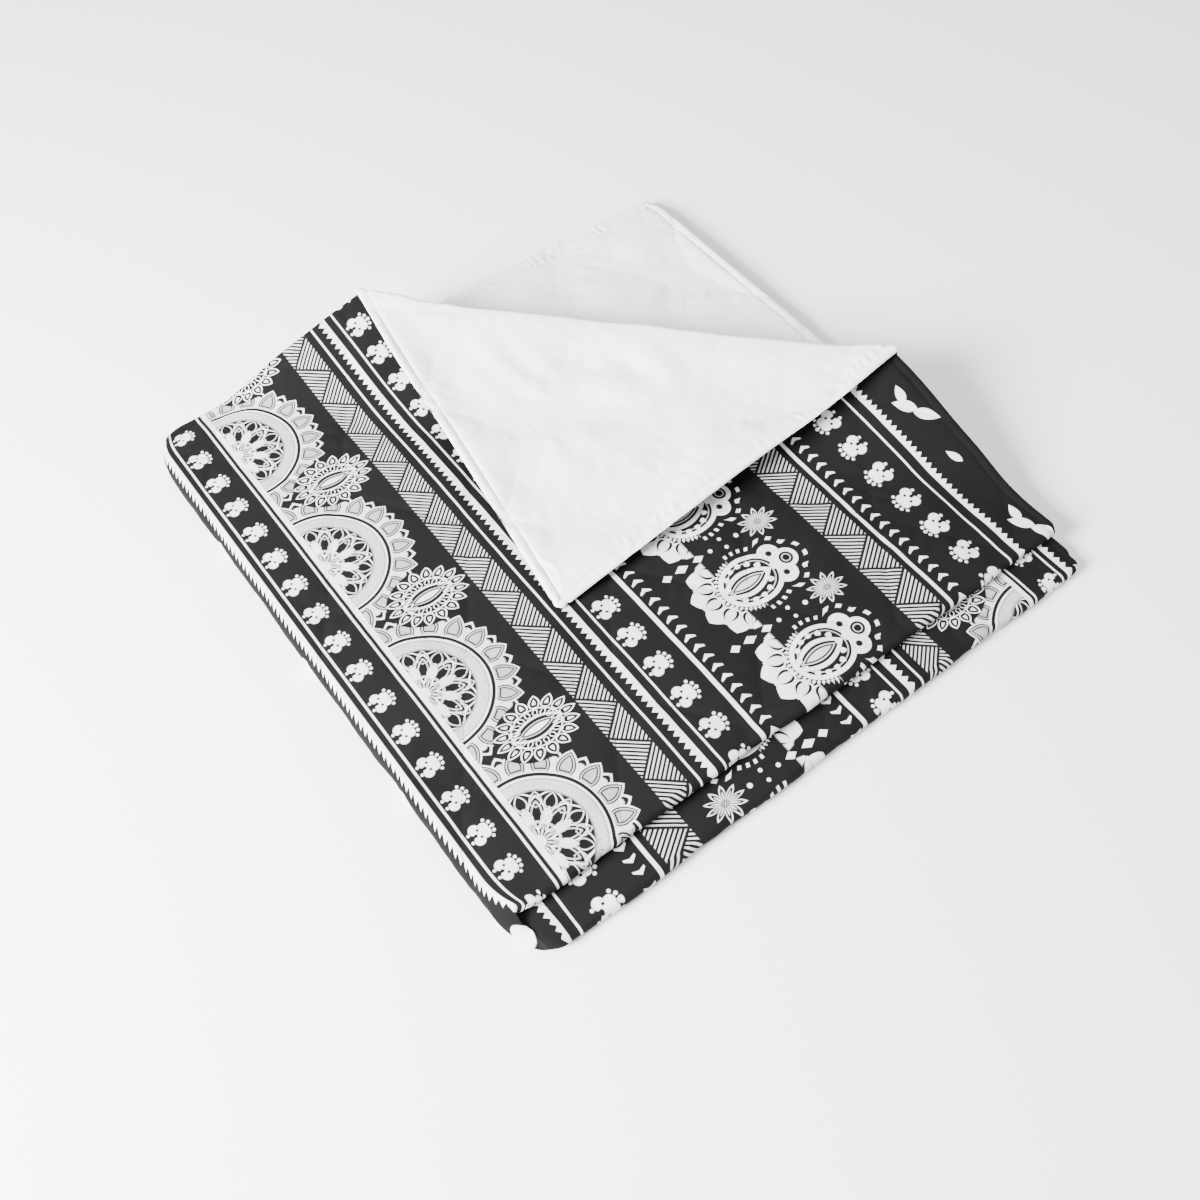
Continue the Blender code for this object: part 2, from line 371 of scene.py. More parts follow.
class Field:
    """A shader socket that Python's operators work on, each adding the Math node it stands for."""

    tree = None

    def __init__(self, socket):
        self.socket = socket

    @classmethod
    def node(cls, kind, inputs=None, output=0, **settings):
        """Adds any node: its settings first, then the value or link of each socket."""
        made = cls.tree.nodes.new(kind)
        for key, value in settings.items():
            setattr(made, key, value)
        for key, value in (inputs or {}).items():
            if isinstance(value, Field):
                cls.tree.links.new(value.socket, made.inputs[key])
            else:
                made.inputs[key].default_value = value
        return cls(made.outputs[output])

    def maths(self, operation, *others, clamp=False):
        inputs = dict(enumerate((self,) + others))
        return Field.node("ShaderNodeMath", inputs, operation=operation, use_clamp=clamp)

    def __add__(self, other):
        return self.maths("ADD", other)

    def __sub__(self, other):
        return self.maths("SUBTRACT", other)

    def __mul__(self, other):
        return self.maths("MULTIPLY", other)

    def __truediv__(self, other):
        return self.maths("DIVIDE", other)

    def __rsub__(self, other):
        return Field.node("ShaderNodeMath", {0: other, 1: self}, operation="SUBTRACT")

    def __neg__(self):
        return self * -1.0

    def __abs__(self):
        return self.maths("ABSOLUTE")

    __radd__ = __add__
    __rmul__ = __mul__

    def above(self, limit):
        return self.maths("GREATER_THAN", limit)

    def below(self, limit):
        return self.maths("LESS_THAN", limit)

    def either(self, other):
        return self.maths("MAXIMUM", other)

    def both(self, other):
        return self.maths("MINIMUM", other)


def new_material(name, roughness, sheen=0.0):
    """A cloth material to fill in: its Principled shader, with the values that stay the same."""
    made = bpy.data.materials.new(name)
    made.use_nodes = True
    Field.tree = made.node_tree
    shader = made.node_tree.nodes["Principled BSDF"]
    shader.inputs["Roughness"].default_value = roughness
    shader.inputs["Sheen Weight"].default_value = sheen
    shader.inputs["Sheen Roughness"].default_value = 0.5
    shader.inputs["Specular IOR Level"].default_value = 0.25
    return made, shader


def cloth_map():
    """The flat place on the cloth, in metres."""
    return Field.node("ShaderNodeUVMap", uv_map="cloth")


def noise(place, scale, detail, **others):
    return Field.node(
        "ShaderNodeTexNoise", {"Vector": place, "Scale": scale, "Detail": detail, **others}
    )


def feed(shader, socket, field):
    Field.tree.links.new(field.socket, shader.inputs[socket])


def tint(shader, tone, blue=1.0):
    """Gives a material a grey that varies, with a little more blue."""
    feed(shader, "Base Color", Field.node("ShaderNodeCombineColor", {0: tone, 1: tone, 2: tone * blue}))


face_print, face_shader = new_material("printed_face_cloth", 0.88)
face_shader.inputs["Specular IOR Level"].default_value = 0.10

# The print is worked out across the stripes and along them, in metres. It repeats across every
# folded width, so it carries on round the side fold.
flat_place = Field.node("ShaderNodeSeparateXYZ", {0: cloth_map()})
dye_spread = 0.00075
cloth_width = hem_x * 2
short_of_hem = 0.0005  # where the print stops, so that it doesn't start again at the hem
stripe = flat_place.both(hem_x - short_of_hem) + hem_x
stripe = stripe.maths("FLOORED_MODULO", cloth_width) - hem_x
length = Field(flat_place.socket.node.outputs[1]) + front_y


def printed(outside, spread=dye_spread):
    """1 inside a printed shape and 0 outside, from the distance outside its edge."""
    return outside.maths("MULTIPLY_ADD", -1 / spread, 0.5, clamp=True)


def line(centre, half_width):
    """A line along the throw."""
    return printed(abs(stripe - centre) - half_width)


def repeated(pitch, start=0.0):
    """Distance from the middle of the nearest repeat along the stripes, with its sign."""
    return ((length - start) / pitch + 0.5).maths("FRACT") * pitch - pitch / 2


def saw(pitch):
    """0 at the middle of each repeat and 1 half way to the next."""
    return abs(repeated(pitch)) * (2 / pitch)


def point(x, y):
    """A flat place as a vector, to measure distances from."""
    return Field.node("ShaderNodeCombineXYZ", {0: x, 1: y, 2: 0.0})


def distance(place, x, y):
    inputs = {0: place, 1: (x, y, 0.0)}
    return Field.node("ShaderNodeVectorMath", inputs, "Value", operation="DISTANCE")


def union(shapes):
    """The nearest of several shapes: the least of their outside distances."""
    found = shapes[0]
    for shape in shapes[1:]:
        found = found.both(shape)
    return found


def together(masks):
    """Shapes printed one beside another."""
    found = masks[0]
    for mask in masks[1:]:
        found = found.either(mask)
    return found


# Plain lines, and three broad lines with a toothed edge.
lines = together([
    line(-0.3550, 0.0012), line(-0.3113, 0.0012), line(-0.3030, 0.0030), line(-0.1388, 0.0012),
    line(-0.1085, 0.0011), line(-0.0575, 0.0026), line(0.2070, 0.0022), line(0.3000, 0.0012),
])
teeth = saw(0.0085) * 0.0060
toothed = together([
    printed((stripe + 0.3630).either(-0.3735 - stripe + teeth)),
    printed((stripe + 0.1190).either(-0.1298 - stripe + teeth)),
    printed((0.3130 - stripe).either(stripe - 0.3235 + teeth)),
])

# Three rows of small trefoils. The last row faces the other way.
first_row, last_row = stripe.below(-0.2), stripe.above(0.1)
row_middle = -0.0890 - first_row * 0.2490 + last_row * 0.3555
row_facing = 1 - last_row * 2
row_size = 0.0168 - first_row * 0.0018 + last_row * 0.0012
bud_x = (stripe - row_middle) * row_facing / row_size
bud_y = abs(repeated(0.0445, 0.008)) / row_size
bud = point(bud_x, bud_y)
lobes = union([distance(bud, -0.34, 0.40) - 0.36, distance(bud, 0.22, 0.20) - 0.34,
               distance(bud, -0.05, 0.0) - 0.34, distance(bud, -0.82, 0.30) - 0.10])
rays = union([distance(bud, 0.80, 0.0) - 0.12, distance(bud, 0.72, 0.34) - 0.11,
              distance(bud, 0.50, 0.64) - 0.10, distance(bud, 0.64, 0.0) - 0.07])
pierced = union([distance(bud, -0.14, 0.28) - 0.10, distance(bud, -0.42, 0.0) - 0.13])
in_row = abs(bud_x).below(1.0)
trefoils = (printed(union([lobes, rays]), 0.07) - printed(pierced, 0.07)).either(0.0) * in_row

# Two rows of small bent leaves beside the plain lines.
leaf_x = abs(stripe + 0.0440).both(abs(stripe - 0.2225))
leaf_y = repeated(0.0148) + leaf_x * 0.55
bent_leaves = printed((abs(leaf_y) - 0.0026 + leaf_x * 0.22).either(leaf_x - 0.0068))

# Two bands of hatched triangles, alternately along one slope and the other.
in_last = stripe.above(0.0)
hatch_x = (stripe + 0.1660 - in_last * 0.3430) / (0.0325 + in_last * 0.0075) + 0.5
hatch_turn = (length / 0.056).maths("FRACT")
hatch_edge = abs(hatch_turn * 2 - 1)
rising_part = hatch_x.above(hatch_edge)
hatch_lines = hatch_turn * 2 * (1 - rising_part * 2) + hatch_x
hatch_wave = abs((hatch_lines * 5.0).maths("FRACT") - 0.5)
hatch = printed(hatch_wave - 0.22, 0.14) * printed(abs(hatch_x - 0.5) - 0.5, 0.03)
hatch = hatch * printed(0.07 - abs(hatch_x - hatch_edge), 0.05) * 0.72


def petals(angle, radius, count, inner, outer, width):
    """Outside distance, in shares of a repeat, of a ring of pointed petals round a middle.

    Each is widest a third of the way out, sqrt(s)(1 - s), and comes to a point at the outer
    radius.
    """
    share = (radius - inner) / (outer - inner)
    across = abs((angle * (count / (2 * math.pi)) + 0.5).maths("FRACT") - 0.5)
    swell = share.either(0.0).maths("SQRT") * (1 - share) * 1.30
    return (across - swell * width).either(abs(share - 0.5) - 0.5)


# Half rosettes along the second plain line: a filled eye, a lacy disc, a dark ring between two
# light ones, and two rows of petals.
rose_x = stripe + 0.3000
rose_y = repeated(0.2, 0.1)
rose_radius = distance(point(rose_x, rose_y), 0.0, 0.0)
rose_angle = rose_y.maths("ARCTAN2", rose_x)
on_side = printed(-rose_x)
disc = printed(rose_radius - 0.0690)
ring_lines = together([
    printed(abs(rose_radius - 0.0730) - 0.0008), printed(abs(rose_radius - 0.0672) - 0.0012),
])
front = petals(rose_angle, rose_radius, 20, 0.070, 0.1005, 0.92)
front_petals = together([
    printed(abs(front + 0.03) - 0.035, 0.05), printed(abs(front + 0.16) - 0.02, 0.04) * 0.75,
    printed(front + 0.25, 0.05) * 0.45,
])
behind = petals(rose_angle + math.pi / 20, rose_radius, 20, 0.062, 0.0985, 1.15)
behind_petals = together([printed(abs(behind + 0.04) - 0.05, 0.05), printed(behind + 0.24, 0.06) * 0.9])
petal_rows = front_petals.either(behind_petals * (1 - printed(front, 0.05)))
petal_rows = petal_rows * printed(0.0735 - rose_radius)
scallop = 0.0500 + (rose_angle * 9).maths("COSINE") * 0.0035
stipple = noise(point(rose_x, rose_y), 900.0, 1.0)
stipple = stipple.maths("MULTIPLY_ADD", 3.0, -0.9, clamp=True) * 0.5 + 0.28
rim = printed(abs(rose_radius - 0.0595) - 0.0060, 0.003) * stipple
lace_leaf = petals(rose_angle + math.pi / 9, rose_radius, 9, 0.012, 0.0490, 1.0)
lace = together([
    printed(abs(rose_radius - scallop) - 0.0009), printed(abs(lace_leaf + 0.05) - 0.035, 0.05),
    printed(abs(lace_leaf + 0.22) - 0.03, 0.05) * 0.7,
    printed(petals(rose_angle, rose_radius, 9, 0.016, 0.040, 0.8) + 0.10, 0.05) * 0.85,
    printed(abs(petals(rose_angle, rose_radius, 18, 0.036, 0.052, 0.8)) - 0.05, 0.05) * 0.7,
])
eye_petal = petals(rose_angle, rose_radius, 9, -0.004, 0.026, 1.0)
eye = together([
    printed(abs(eye_petal) - 0.07, 0.06), printed(rose_radius - 0.0065),
    printed(eye_petal + 0.3, 0.1) * 0.6,
])
inner_disc = rim.either(lace * printed(rose_radius - 0.0525)).either(eye)
rosettes = (ring_lines.either(petal_rows).either(inner_disc * disc)) * on_side

# Small pointed flowers between the half rosettes.
flower_x = stripe + 0.2320
flower_y = repeated(0.2, 0.0)
flower = point(flower_x, abs(flower_y))
almond = abs(flower_y) * 1.9 + flower_x * flower_x * 26.0
flower_radius = distance(point(flower_x * 0.74, flower_y), 0.0, 0.0)
flower_angle = flower_y.maths("ARCTAN2", flower_x * 0.74)
flower_ring = petals(flower_angle, flower_radius, 16, 0.0205, 0.0350, 0.9)
flower_mask = together([
    printed(abs(almond - 0.0215) - 0.0022, 0.0015), printed(almond - 0.0065, 0.0015),
    printed(abs(almond - 0.0110) - 0.0010, 0.0015) * 0.6,
    printed(abs(petals(flower_angle, flower_radius, 16, 0.0135, 0.0205, 0.6)) - 0.07, 0.05),
    printed(abs(flower_radius - 0.0205) - 0.0006),
    printed(abs(flower_ring + 0.05) - 0.06, 0.05), printed(flower_ring + 0.30, 0.06) * 0.9,
])
flower_area = printed(flower_radius - 0.0352, 0.001)
rosettes = rosettes * (1 - printed(flower_radius - 0.0215)).both(1 - flower_area * 0.999)
rosettes = rosettes.either(flower_area * flower_mask)
rosettes = rosettes * printed(abs(stripe + 0.2430) - 0.0590, 0.002)

# The broad row of lotus ornaments. Each has a foot of curled leaves, a heart-shaped body with
# an almond and seeds inside, a crown of three lobes, and a halo of dots.
lotus_pitch, lotus_start = 0.1125, 0.032
lotus_y = repeated(lotus_pitch, lotus_start)
lotus_side = abs(lotus_y)
lotus = point(stripe, lotus_side)
body_radius = distance(point((stripe - 0.0520) * 0.92, lotus_y), 0.0, 0.0)
body_angle = lotus_y.maths("ARCTAN2", stripe - 0.0520)
body_edge = body_radius - 0.0330 - body_angle.maths("COSINE") * 0.0030
body_edge = body_edge - (body_angle * 2).maths("COSINE") * 0.0020
crown = union([distance(lotus, 0.0930, 0.0150) - 0.0130, distance(lotus, 0.1050, 0.0) - 0.0135])
crown_point = (lotus_side * 1.5 + (stripe - 0.1170)) * 0.60
outline = union([body_edge, crown, crown_point.either(0.1050 - stripe)])
lotus_almond = lotus_side * 1.9 + (stripe - 0.0500) * (stripe - 0.0500) * 27.0
seeds = petals(body_angle, body_radius, 13, 0.0195, 0.0275, 0.75)
halo = abs(outline - 0.0085)
halo_turn = abs((body_angle * (30 / (2 * math.pi))).maths("FRACT") - 0.5)
halo_dots = (halo - 0.0022).either(halo_turn * 0.011 - 0.0022)
foot_leaf = petals(body_angle, body_radius, 14, 0.0350, 0.0570, 1.05)
foot_core = petals(body_angle, body_radius, 14, 0.0370, 0.0560, 0.5)
foot_fan = petals(body_angle + math.pi / 14, body_radius, 14, 0.0480, 0.0640, 1.0)
foot_leaves = together([printed(abs(foot_leaf + 0.04) - 0.075, 0.05), printed(foot_core, 0.05) * 0.9,
                        (printed(foot_fan, 0.05) * (1 - printed(foot_leaf, 0.05)))])
foot_shape = printed(stripe - 0.0260, 0.003) * printed(abs(lotus_y) - 0.0440 - stripe * 0.25, 0.002)
frill_turn = abs((body_angle * (44 / (2 * math.pi))).maths("FRACT") - 0.5)
frill = frill_turn * 0.0080 + abs(body_edge - 0.0022) - 0.0032
foot_side = printed(stripe - 0.0480, 0.004)
lotus_mask = together([
    printed(abs(outline + 0.0028) - 0.0026), printed(abs(outline + 0.0088) - 0.0006) * 0.6,
    printed(abs(lotus_almond - 0.0250) - 0.0048, 0.0018), printed(lotus_almond - 0.0080, 0.0018) * 0.7,
    printed(abs(lotus_almond - 0.0130) - 0.0012, 0.0018) * 0.8,
    printed(seeds + 0.08, 0.06), printed(halo_dots) * (1 - foot_side),
    printed(distance(lotus, 0.0880, 0.0) - 0.0048),
    printed(abs(distance(lotus, 0.0930, 0.0150) - 0.0058) - 0.0016),
    foot_leaves * foot_shape, printed(frill) * foot_side * 0.85,
])
between = abs(repeated(lotus_pitch, lotus_start + lotus_pitch / 2))
gap = point(stripe, between)
spray_radius = distance(point((stripe - 0.1130) * 0.8, between), 0.0, 0.0)
spray_angle = between.maths("ARCTAN2", (stripe - 0.1130) * 0.8)
spray = petals(spray_angle, spray_radius, 10, -0.002, 0.0185, 0.95)
small_leaves = union([
    (abs(stripe - 0.0050) + between * 1.7) * 0.7 - 0.0062,
    (abs(stripe + 0.0150) + between * 1.3) * 0.7 - 0.0046,
    (abs(stripe - 0.0280) + between * 1.5) * 0.7 - 0.0050,
    distance(gap, 0.0820, 0.0) - 0.0028, distance(gap, 0.0450, 0.0) - 0.0024,
    distance(gap, 0.0630, 0.0065) - 0.0022,
])
lotus_row = together([
    lotus_mask, printed(small_leaves),
    together([printed(abs(spray + 0.04) - 0.07, 0.06), printed(spray + 0.3, 0.08)]) * 0.8,
])
lotus_row = lotus_row * printed(abs(stripe - 0.0600) - 0.0860, 0.002)

# Sprigs of three plain leaves on the dark band along the hem.
sprig_y = repeated(0.190, 0.055)


def plain_leaf(x, y, angle, half_length, half_width):
    """Outside distance of an oval leaf, as a share of its size, at a place and an angle."""
    cosine, sine = math.cos(angle), math.sin(angle)
    lengthwise = ((stripe - x) * cosine + (sprig_y - y) * sine) / half_length
    sideways = ((sprig_y - y) * cosine - (stripe - x) * sine) / half_width
    return (lengthwise * lengthwise + abs(sideways) * (1.15 + lengthwise * 0.35)) - 1


sprigs = together([
    printed(plain_leaf(*leaf), 0.12) for leaf in (
        (0.347, 0.012, 2.2, 0.0150, 0.0075), (0.352, 0.026, 1.3, 0.0120, 0.0062),
        (0.360, -0.012, -0.9, 0.0160, 0.0078), (0.349, -0.070, 1.9, 0.0110, 0.0050),
    )
]) * stripe.above(0.330)

dye_holes = noise(cloth_map(), 2600.0, 1.0)
ink = together([lines, toothed, trefoils, bent_leaves, hatch, rosettes, lotus_row, sprigs])
ink = ink * (0.93 + dye_holes * 0.14)
ground = noise(cloth_map(), 7.0, 4.0)
pale = ground.maths("MULTIPLY_ADD", 0.004, 0.0032)
white = 0.70 + ground * 0.08
tint(face_shader, pale + (white - pale) * ink, 1.01)


def woven(shader, pitch, depth, crease_depth):
    """A fine plain weave and soft small creases, as a bump: threads rise in turn in both
    directions, the product of two sine waves, over an uneven nap."""
    place = cloth_map()
    split = Field.node("ShaderNodeSeparateXYZ", {0: place})
    warp = (split * (2 * math.pi / pitch)).maths("SINE")
    weft = (Field(split.socket.node.outputs[1]) * (2 * math.pi / pitch)).maths("SINE")
    nap, creases = noise(place, 420.0, 5.0), noise(place, 24.0, 5.0, Distortion=0.8)
    height = warp * weft * depth * 0.5 + nap * depth * 1.4 + creases * crease_depth
    bump = Field.node("ShaderNodeBump", {"Height": height, "Distance": 1.0, "Strength": 1.0}, "Normal")
    feed(shader, "Normal", bump)


woven(face_shader, 0.0009, 0.00012, 0.0009)

ring_end = fold_x - math.pi * side_reach  # where the cloth comes off the side fold below
turn_end = -math.pi * turn_middle  # where it comes off the front fold
turn_steps = np.linspace(turn_end, 0, 13)
lower_across = spaced(across_end, ring_end, 0.006, ends="start")
lower_run = np.concatenate([
    spaced(run_end, turn_end - 0.075, 0.010, ends="start")[:-1],
    spaced(turn_end - 0.075, turn_end, 0.003)[:-1],
    turn_steps[:-1],
    spaced(0, leg, 0.0055, ends="end"),
])
grid = np.meshgrid(lower_across, lower_run, indexing="ij")
lower_face = cloth_piece(
    "lower_half_print", lambda a, b: folded(a, b, 1), *grid, 1, face_print, "face_cloth"
)
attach(lower_face, "lower_half")
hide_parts("lower_face_cloth", "lower_batting")
cut_from(lower_face, *grid, ["lower_half_white"])

# ---------------------------------------------------------------------------------------------
# Backing cloth of the lower half.
# Plain white microfibre with a soft sheen. It is the inner side of both plies of the half.
# ---------------------------------------------------------------------------------------------

backing, backing_shader = new_material("white_backing_cloth", 0.36, sheen=0.12)
backing_shader.inputs["Specular IOR Level"].default_value = 0.5
tint(backing_shader, noise(cloth_map(), 9.0, 4.0).maths("MULTIPLY_ADD", 0.05, 0.86), 1.006)
woven(backing_shader, 0.0007, 0.00006, 0.0016)

lower_run = np.concatenate([
    spaced(run_end, turn_end, 0.009, ends="start")[:-1],
    turn_steps[:-1],
    spaced(0, leg, 0.009, ends="end"),
])
grid = np.meshgrid(spaced(across_end, ring_end, 0.009, ends="start"), lower_run, indexing="ij")
lower_back = cloth_piece(
    "lower_half_white", lambda a, b: folded(a, b, -1), *grid, -1, backing, "backing_cloth"
)
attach(lower_back, "lower_half")
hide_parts("lower_backing_cloth")
cut_from(lower_back, *grid, ["lower_half_print"])

# ---------------------------------------------------------------------------------------------
# Side fold: printed and backing cloth of both plies.
# The same cloths, carried round the fold from the upper half to the lower one. The outer ply
# goes round the inner one, and the front end is closed by the rolled front fold.
# ---------------------------------------------------------------------------------------------


def side_fold(name, side, runs, reach, nodes):
    """One cloth of the side fold, which opens between the halves, a reach above and below."""
    material, slot = (face_print, "face_cloth") if side > 0 else (backing, "backing_cloth")
    a, b = np.meshgrid(np.linspace(ring_end, fold_x, 25), runs, indexing="ij")
    piece = cloth_piece(name, lambda u, v: folded(u, v, side), a, b, side, material, slot)
    bends[name] = (fold_x, 0, middle_z - reach), (fold_x, 0, middle_z + reach)
    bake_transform(piece)
    if nodes:
        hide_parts(*nodes)
    return piece, (a * reach / side_reach, b)


bends = {}  # the two ends of the bend of each cloth that spans two bodies
outer_runs = spaced(0, leg, 0.0045, ends="end")
inner_runs = spaced(run_end, turn_end, 0.009, ends="start")
inner_gap = 0.0003  # between the two plies inside the fold
rolled = []
# The rolled front end is in three lengths, since the fold is nearer its middle there.
last = len(turn_steps) - 1
for part, (start, end) in enumerate(((7, last), (4, 7), (0, 4))):
    reach = turn_height + turn_radius * math.cos(math.pi * (last - end) / last)
    rolled.append(side_fold(f"front_corner_print_{part + 1}", 1, turn_steps[start:end + 1], reach, [])[0])
rolled.append(side_fold("front_corner_white", -1, turn_steps, turn_height, [])[0])
rolled.append(side_fold("inner_wrap_print", 1, inner_runs, inner_gap * 2,
                        ["inner_fold_face_cloth", "inner_fold_batting"])[0])
wrap, cut = side_fold("outer_wrap_print", 1, outer_runs, side_reach,
                      ["side_fold_face_cloth", "side_fold_batting"])
cut_from(wrap, *cut, ["lower_half_white"], rolled)
for name, runs, reach, node in (
    ("outer_wrap_white", outer_runs, side_reach - 2 * half_ply, "side_fold_backing_cloth"),
    ("inner_wrap_white", inner_runs, 2 * half_ply + inner_gap / 2, "inner_fold_backing_cloth"),
):
    wrap, cut = side_fold(name, -1, runs, reach, [node])
    cut_from(wrap, *cut, ["lower_half_white"])

# ---------------------------------------------------------------------------------------------
# Printed face cloth of the upper half.
# The top ply as far as the line where the corner starts to rise, the front fold, and the ply
# under it with its print down.
# ---------------------------------------------------------------------------------------------


def rise_run(across):
    """How far back the flat of the top ply runs: to the line where it rises, or to its hem."""
    return np.minimum(leg, rise_y + (hem_x - across) * along[1] / -along[0] - front_y)


upper_across = np.unique(np.concatenate([
    np.linspace(fold_x, cross_x, 12), spaced(cross_x, hem_x, 0.0031, ends="end")
]))


def ply_grid(under_rows, top_rows):
    """Flat places of the upper half: rows of the ply underneath and round the fold, then rows
    of the top ply, as shares of the way to where it rises."""
    across = np.repeat(upper_across[:, None], len(under_rows) + len(turn_steps) - 1 + len(top_rows), 1)
    under = np.concatenate([under_rows, turn_steps[:-1]])
    top = rise_run(upper_across)[:, None] * top_rows / leg
    return across, np.concatenate([np.repeat(under[None], len(upper_across), 0), top], 1)


a, b = ply_grid(spaced(run_end, turn_end, 0.010, ends="start")[:-1], spaced(0, leg, 0.0043, ends="end"))
upper_face = cloth_piece(
    "upper_half_print", lambda u, v: folded(u, v, 1), a, b, 1, face_print, "face_cloth"
)
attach(upper_face, "upper_half")
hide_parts("upper_face_cloth", "upper_batting")
cut_from(upper_face, a, b, ["lower_half_print"])

# ---------------------------------------------------------------------------------------------
# Backing cloth of the upper half.
# The white side of the ply under the turned-back corner, where it is bare to the back hems,
# and the underside of the top ply.
# ---------------------------------------------------------------------------------------------

bare_end = run_end + back_hem - rise_y  # the white side is bare between the hem and here
under_rows = np.concatenate([
    spaced(run_end, bare_end, 0.0031, ends="start")[:-1], spaced(bare_end, turn_end, 0.009)[:-1],
])
a, b = ply_grid(under_rows, spaced(0, leg, 0.012, ends="end"))
upper_back = cloth_piece(
    "upper_half_white", lambda u, v: folded(u, v, -1), a, b, -1, backing, "backing_cloth"
)
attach(upper_back, "upper_half")
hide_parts("upper_backing_cloth")
cut_from(upper_back, a, b, ["upper_half_print"])

# ---------------------------------------------------------------------------------------------
# Raised strip, crease and turned-back corner.
# The far right corner of the top ply. It rises along a slanting strip, turns over at the crease
# and lies back over itself, white side up, down to its tip.
# ---------------------------------------------------------------------------------------------

strip_width = float((crease_hinge[:2] - strip_hinge[:2]) @ away)
strip_height = crease_hinge[2] - strip_hinge[2]
strip_length = math.hypot(strip_width, strip_height)
ply_pitch = 0.0073
crease_radius = 0.0045  # to the middle of the ply's thickness
corner_length = 0.388  # crease to tip
foot = 0.05  # of cloth over which the strip bends up from the flat
top_slope = math.asin(strip_height / (strip_length - foot / 2))
corner_slope = math.asin((strip_height + 2 * crease_radius - ply_pitch) / corner_length)
crease_turn = math.pi + corner_slope - top_slope
crease_arc = crease_turn * crease_radius
tip_along = float((np.array([hem_x, back_hem]) - rise_corner) @ along)
flare = 0.013  # by which the cloth is pulled out along the crease at each end
crease_back = -(back_hem - rise_y - strip_length * away[1]) / -along[1] - flare
crease_side = -strip_length * away[0] / along[0] + flare
left_splay = (tip_along - crease_back) / corner_length
right_splay = (crease_side - tip_along) / corner_length
tip_radius = 0.008
tip_centre = corner_length - tip_radius * math.sqrt(1 + 4 / (left_splay + right_splay) ** 2)
tip_end = tip_centre + tip_radius

way = np.linspace(0, strip_length + crease_arc + corner_length + 0.01, 6000)
heading = top_slope * smooth(way / foot)
heading = heading + crease_turn * np.clip((way - strip_length) / crease_arc, 0, 1)
stride = way[1] - way[0]
forward = np.concatenate([[0], np.cumsum(np.cos((heading[1:] + heading[:-1]) / 2))]) * stride
upward = np.concatenate([[0], np.cumsum(np.sin((heading[1:] + heading[:-1]) / 2))]) * stride


def from_rise(a, b):
    """How far a flat place is past the line where the corner rises, and how far along it."""
    rise_a, rise_b = a - rise_flat[0], b - rise_flat[1]
    return rise_a * away[0] + rise_b * away[1], rise_a * along[0] + rise_b * along[1]


def corner_edges(distance):
    """Where the two hems lie along the crease, at a distance from where the strip rises.

    Over the strip they are the hems of the throw. Past the crease they run straight to the tip,
    which is rounded.
    """
    past = distance - strip_length - crease_arc
    on_strip = np.minimum(distance, strip_length)
    left = -(back_hem - rise_y - on_strip * away[1]) / -along[1] + np.clip(past, 0, None) * left_splay
    right = -on_strip * away[0] / along[0] - np.clip(past, 0, None) * right_splay
    left = left - flare * smooth(on_strip / strip_length)
    right = right + flare * smooth(on_strip / strip_length)
    rounded = np.sqrt(np.clip(tip_radius**2 - np.clip(past - tip_centre, 0, None) ** 2, 0, None))
    near_tip = past > tip_centre
    left = np.where(near_tip, np.maximum(left, tip_along - rounded), left)
    right = np.where(near_tip, np.minimum(right, tip_along + rounded), right)
    return left, right


def corner_hem(distance, across):
    """Distance to the nearest hem of the corner, square to it."""
    past = distance - strip_length - crease_arc
    left, right = corner_edges(distance)
    over = smooth(past / 0.03 + 0.5)
    from_left = (across - left) * (-along[1] * (1 - over) + over / math.hypot(1, left_splay))
    from_right = (right - across) * (along[0] * (1 - over) + over / math.hypot(1, right_splay))
    hem = np.minimum(from_left, from_right)
    from_tip = tip_radius - np.hypot(across - tip_along, past - tip_centre)
    return np.where(past > tip_centre, np.minimum(hem, np.maximum(from_tip, 0)), hem)


def raised(a, b, side):
    """Where the cloth of one side lies on the raised strip, the crease and the corner.

    The flat place is split into a distance away from the line where the strip rises and one
    along it. The first follows the profile of heading against way, and the second is kept.
    The crease bows forward between its ends, down the slope of the strip. The corner sags a
    little between its hems, and the stitching draws small bumps along its left hem.
    """
    distance, across = from_rise(a, b)
    b = b + front_y
    past = distance - strip_length - crease_arc
    hem = np.clip(corner_hem(distance, across), 0, None)
    out = side * loft(a, b, hem)
    crumple = crumpled(a, b, hem, out)
    out = out + (bare_loft(a, b, hem, side) - out) * smooth((past - 0.005) / 0.05) + crumple
    sag = np.clip(0.0026 * ripple(a, b, 0.19, 31) + 0.0014 * ripple(a, b, 0.10, 32) + 0.0040, 0, None)
    sag = sag * smooth((past - 0.01) / 0.06) * smooth(hem / 0.05)
    sag = sag * (1 - smooth((past - corner_length + 0.16) / 0.13))
    drawn = 0.8 + np.sin(a * 2 * np.pi / 0.0140 + 2.5 * ripple(a, b, 0.06, 34))
    drawn = drawn * np.exp(-((hem / 0.010) ** 2)) * (back_hem - b < hem_x - a)
    middle = out - 0.0006 * drawn * smooth(past / 0.03) + sag
    turn = np.interp(distance, way, heading)
    reach = np.interp(distance, way, forward) - np.sin(turn) * middle
    height = np.interp(distance, way, upward) + np.cos(turn) * middle
    from_end = np.minimum(across - crease_back, crease_side - across)
    bow = 0.009 * smooth(from_end / 0.11)
    bow = bow * np.where(past < 0, smooth(distance / strip_length), 1 - smooth(past / 0.20))
    reach = reach - bow * math.cos(top_slope)
    height = height - bow * math.sin(top_slope)
    x = rise_corner[0] + across * along[0] + reach * away[0]
    y = rise_corner[1] + across * along[1] + reach * away[1]
    return np.stack(settle(x, y, stack_height - half_ply + height), -1)


